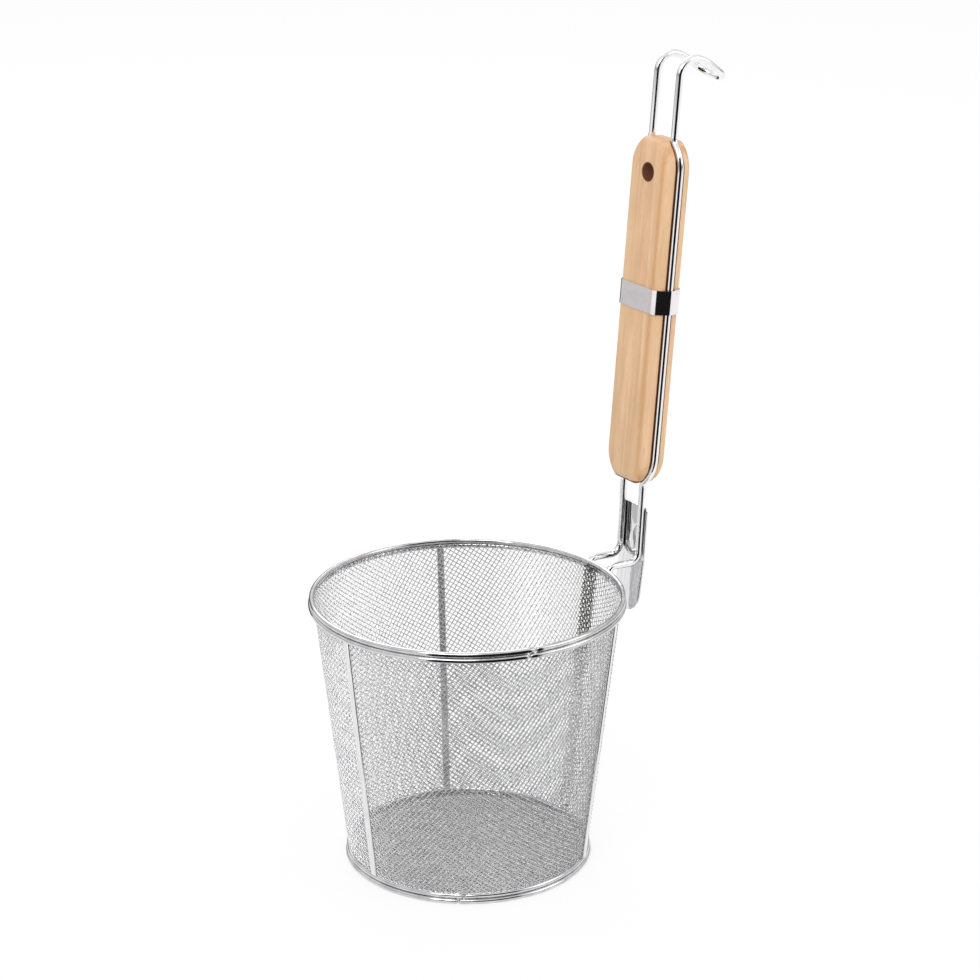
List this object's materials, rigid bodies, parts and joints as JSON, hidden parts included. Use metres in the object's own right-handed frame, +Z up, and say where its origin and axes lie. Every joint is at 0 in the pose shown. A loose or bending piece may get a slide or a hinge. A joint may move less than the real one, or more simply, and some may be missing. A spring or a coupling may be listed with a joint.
{
  "type": "deep fryer basket",
  "caption": "Tapered round basket of woven steel wire with ribs and stacked rim and base rings, a wooden grip on a bent wire handle, a hanging hook and a plate that clips over a pot's edge.",
  "frame": {"origin": "middle of the base ring, on the surface that the basket stands on", "axes": "+Z up along the basket's axis; +X towards the handle, which stands in the plane Y = 0 and leans outwards; +Y across the handle"},
  "size_m": [0.2105, 0.1452, 0.3629],
  "materials": {
    "wire_steel": "polished stainless wire",
    "cloth_steel": "woven stainless wire cloth",
    "rib_steel": "smooth stainless strip",
    "sheet_steel": "brushed stainless sheet",
    "grip_wood": "smooth, unvarnished light beech"
  },
  "bodies": {
    "root": {"side_mesh": "cloth_steel", "base_mesh": "cloth_steel", "rim_ring_upper": "wire_steel", "rim_ring_lower": "wire_steel", "base_ring_upper": "wire_steel", "base_ring_lower": "wire_steel", "rib_1": "rib_steel", "rib_2": "rib_steel", "rib_3": "rib_steel", "handle_wire": "wire_steel", "wood_grip": "grip_wood", "collar_band": "sheet_steel", "clip_plate": "sheet_steel"}
  },
  "joints": []
}
